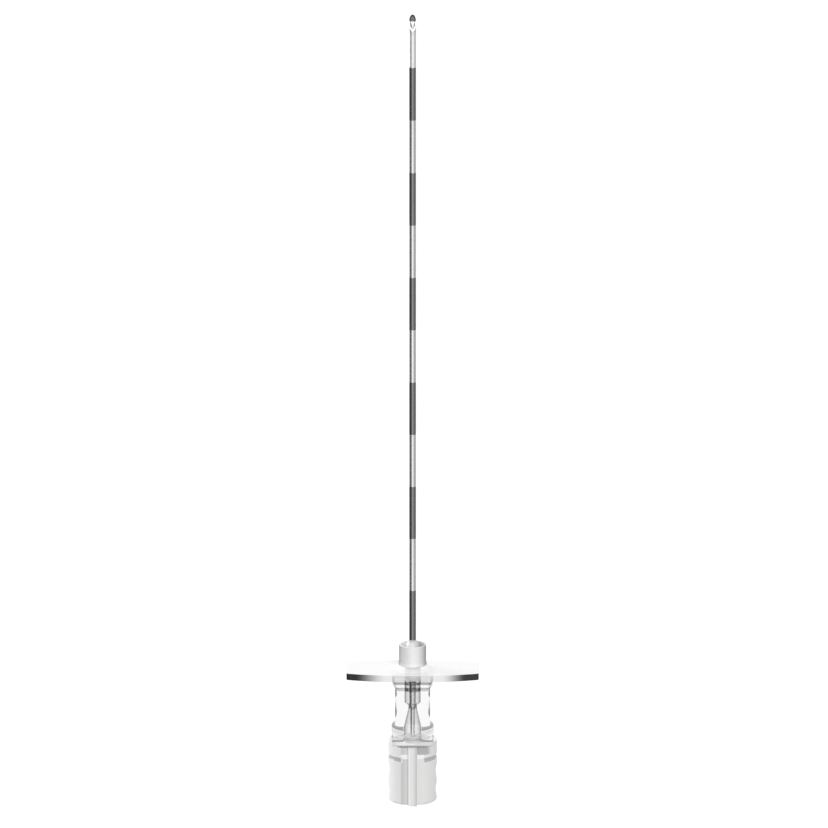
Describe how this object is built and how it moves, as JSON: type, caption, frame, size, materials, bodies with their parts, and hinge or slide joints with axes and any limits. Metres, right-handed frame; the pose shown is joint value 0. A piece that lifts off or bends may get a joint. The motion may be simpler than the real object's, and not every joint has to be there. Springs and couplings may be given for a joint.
{
  "type": "epidural needle",
  "caption": "Winged epidural needle with a curved bevelled point, depth bands, clear hub and a keyed stylet that pulls out.",
  "frame": {"origin": "middle of the stylet cap's flat bottom, where the needle stands", "axes": "+Z along the needle towards its point, +X along the wings to the right, -Y the side that the bevelled opening and the cap's pointer rib face"},
  "size_m": [0.0246, 0.0104, 0.1503],
  "materials": {
    "cap_plastic": "pearly white moulded plastic, slightly translucent",
    "stylet_steel": "bright drawn stainless steel wire",
    "adhesive": "cured milky bond",
    "clear_hub": "clear polished moulded plastic",
    "clear_wing": "clear moulded plastic with dark edges",
    "sleeve_plastic": "milky translucent moulded plastic",
    "cannula_steel": "drawn stainless steel tube with etched dark depth bands"
  },
  "bodies": {
    "stylet": {"stylet_cap": "cap_plastic", "stylet_wire": "stylet_steel", "stylet_adhesive": "adhesive"},
    "needle": {"hub": "clear_hub", "wing_plate": "clear_wing", "nose_sleeve": "sleeve_plastic", "cannula": "cannula_steel", "cannula_adhesive": "adhesive"}
  },
  "joints": [
    {"name": "stylet_withdrawal", "type": "slide", "parent": "stylet", "child": "needle", "axis": [0, 0, 1], "range_m": [0, 0.14]}
  ]
}
